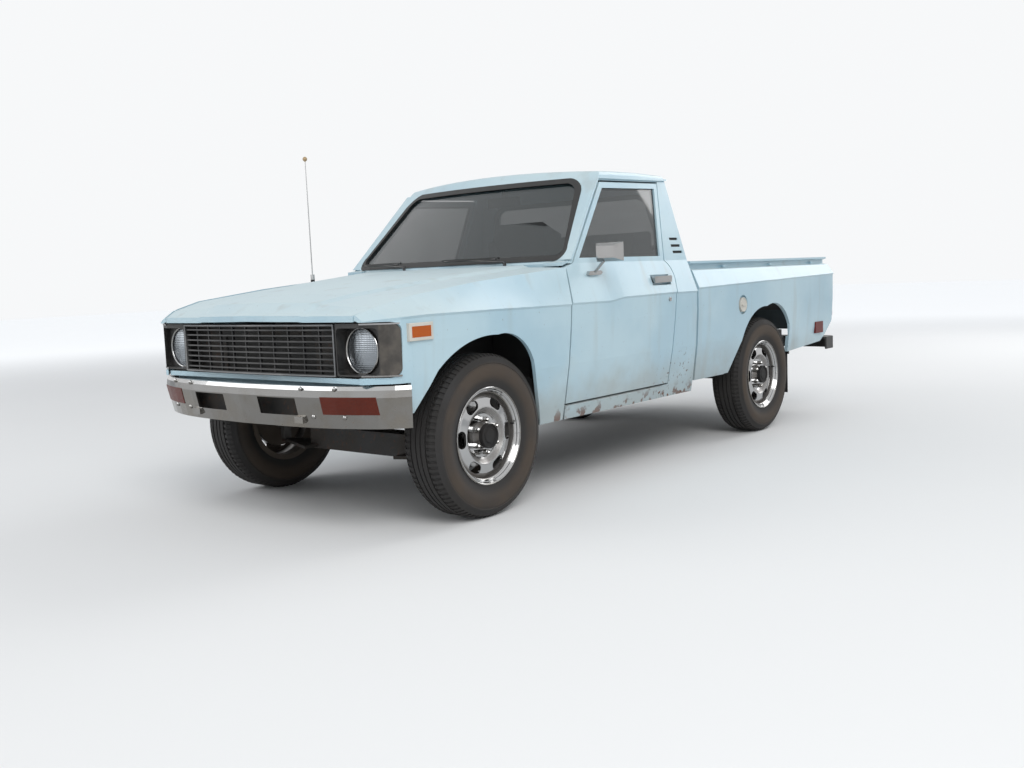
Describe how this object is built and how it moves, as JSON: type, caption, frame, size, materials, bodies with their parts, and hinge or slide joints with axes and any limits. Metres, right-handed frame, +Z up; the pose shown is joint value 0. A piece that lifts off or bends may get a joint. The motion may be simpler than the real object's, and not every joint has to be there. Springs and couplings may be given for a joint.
{
  "type": "pickup truck",
  "caption": "Compact pickup truck, faded light blue, with a regular cab, an open load bed, a grille with round lamps and chrome wheels; doors, hood, tailgate and steering move.",
  "frame": {"origin": "on the ground, under the middle of the overall box: half way along the truck and half way across it with the mirror, so the centre plane of the body is at x = -0.0645 m", "axes": "+X to the truck's left, +Y to the rear, +Z up; the front faces -Y"},
  "size_m": [1.735, 4.402, 1.6759],
  "materials": {
    "body_paint": "faded light blue paint",
    "frame_paint": "dirty black paint",
    "chrome": "slightly dulled chrome",
    "glass": "plain glass",
    "seal_rubber": "black rubber",
    "tyre": "worn black rubber with brown dirt",
    "grille_plastic": "dark grey",
    "bezel_plastic": "faded dark grey and brown",
    "lamp_clear": "ribbed clear glass",
    "lamp_amber": "amber",
    "lamp_red": "red",
    "dash_plastic": "black grained",
    "seat_vinyl": "dark upholstery",
    "cast_metal": "dull cast iron",
    "bare_steel": "dull steel",
    "black_trim": "black"
  },
  "bodies": {
    "truck_body": {"cab_shell": "body_paint", "cab_floor": "body_paint", "cowl": "body_paint", "cab_glass": "glass", "window_seals": "seal_rubber", "dashboard": "dash_plastic", "steering_column": "dash_plastic", "seat_cushion": "seat_vinyl", "seat_back": "seat_vinyl", "seat_frame": "frame_paint", "fenders": "body_paint", "front_panel": "body_paint", "radiator_support": "frame_paint", "grille": "grille_plastic", "lamp_bezels": "bezel_plastic", "headlamps": "lamp_clear", "front_bumper": "chrome", "amber_lamps": "lamp_amber", "red_lamps": "lamp_red", "wipers": "bare_steel", "antenna": "bare_steel", "chassis_frame": "frame_paint", "engine_block": "cast_metal", "driveline": "cast_metal", "exhaust": "bare_steel", "fuel_tank": "frame_paint", "front_suspension": "frame_paint", "rear_axle": "cast_metal", "leaf_springs": "frame_paint", "bed_tub": "body_paint", "bed_sides": "body_paint", "fuel_filler": "black_trim", "rear_bumper": "black_trim", "mud_flaps": "seal_rubber"},
    "hood_panel": {"hood": "body_paint"},
    "tailgate_panel": {"tailgate": "body_paint"},
    "left_door": {"door_left": "body_paint", "door_glass_left": "glass", "door_fittings_left": "chrome"},
    "right_door": {"door_right": "body_paint", "door_glass_right": "glass", "door_fittings_right": "chrome"},
    "left_knuckle": {"knuckle_left": "cast_metal"},
    "right_knuckle": {"knuckle_right": "cast_metal"},
    "front_left_wheel": {"tyre_front_left": "tyre", "wheel_front_left": "chrome"},
    "front_right_wheel": {"tyre_front_right": "tyre", "wheel_front_right": "chrome"},
    "rear_left_wheel": {"tyre_rear_left": "tyre", "wheel_rear_left": "chrome"},
    "rear_right_wheel": {"tyre_rear_right": "tyre", "wheel_rear_right": "chrome"},
    "driver_steering_wheel": {"steering_wheel": "dash_plastic"}
  },
  "joints": [
    {"name": "hood_hinge", "type": "hinge", "parent": "truck_body", "child": "hood_panel", "pos_m": [-0.0645, -0.979, 1.008], "axis": [-1, 0, 0], "range_deg": [0, 45]},
    {"name": "tailgate_hinge", "type": "hinge", "parent": "truck_body", "child": "tailgate_panel", "pos_m": [-0.0645, 2.091, 0.662], "axis": [-1, 0, 0], "range_deg": [0, 90]},
    {"name": "left_door_hinge", "type": "hinge", "parent": "truck_body", "child": "left_door", "pos_m": [0.6855, -0.875, 0.76], "axis": [0, 0, -1], "range_deg": [0, 65]},
    {"name": "right_door_hinge", "type": "hinge", "parent": "truck_body", "child": "right_door", "pos_m": [-0.8145, -0.875, 0.76], "axis": [0, 0, 1], "range_deg": [0, 65]},
    {"name": "left_steering", "type": "hinge", "parent": "truck_body", "child": "left_knuckle", "pos_m": [0.5355, -1.499, 0.348], "axis": [0, 0, 1], "range_deg": [-30, 30]},
    {"name": "right_steering", "type": "hinge", "parent": "truck_body", "child": "right_knuckle", "pos_m": [-0.6645, -1.499, 0.348], "axis": [0, 0, 1], "range_deg": [-30, 30]},
    {"name": "steering_wheel_turn", "type": "hinge", "parent": "truck_body", "child": "driver_steering_wheel", "pos_m": [0.2855, -0.544, 1.03], "axis": [0, 0.8442, 0.5361], "range_deg": [-600, 600]},
    {"name": "front_left_spin", "type": "hinge", "parent": "left_knuckle", "child": "front_left_wheel", "pos_m": [0.6055, -1.499, 0.348], "axis": [1, 0, 0], "continuous": true},
    {"name": "front_right_spin", "type": "hinge", "parent": "right_knuckle", "child": "front_right_wheel", "pos_m": [-0.7345, -1.499, 0.348], "axis": [1, 0, 0], "continuous": true},
    {"name": "rear_left_spin", "type": "hinge", "parent": "truck_body", "child": "rear_left_wheel", "pos_m": [0.6055, 1.101, 0.348], "axis": [1, 0, 0], "continuous": true},
    {"name": "rear_right_spin", "type": "hinge", "parent": "truck_body", "child": "rear_right_wheel", "pos_m": [-0.7345, 1.101, 0.348], "axis": [1, 0, 0], "continuous": true}
  ],
  "couplings": [
    {"joint": "right_steering", "follows": "left_steering", "ratio": 1},
    {"joint": "steering_wheel_turn", "follows": "left_steering", "ratio": 20}
  ]
}
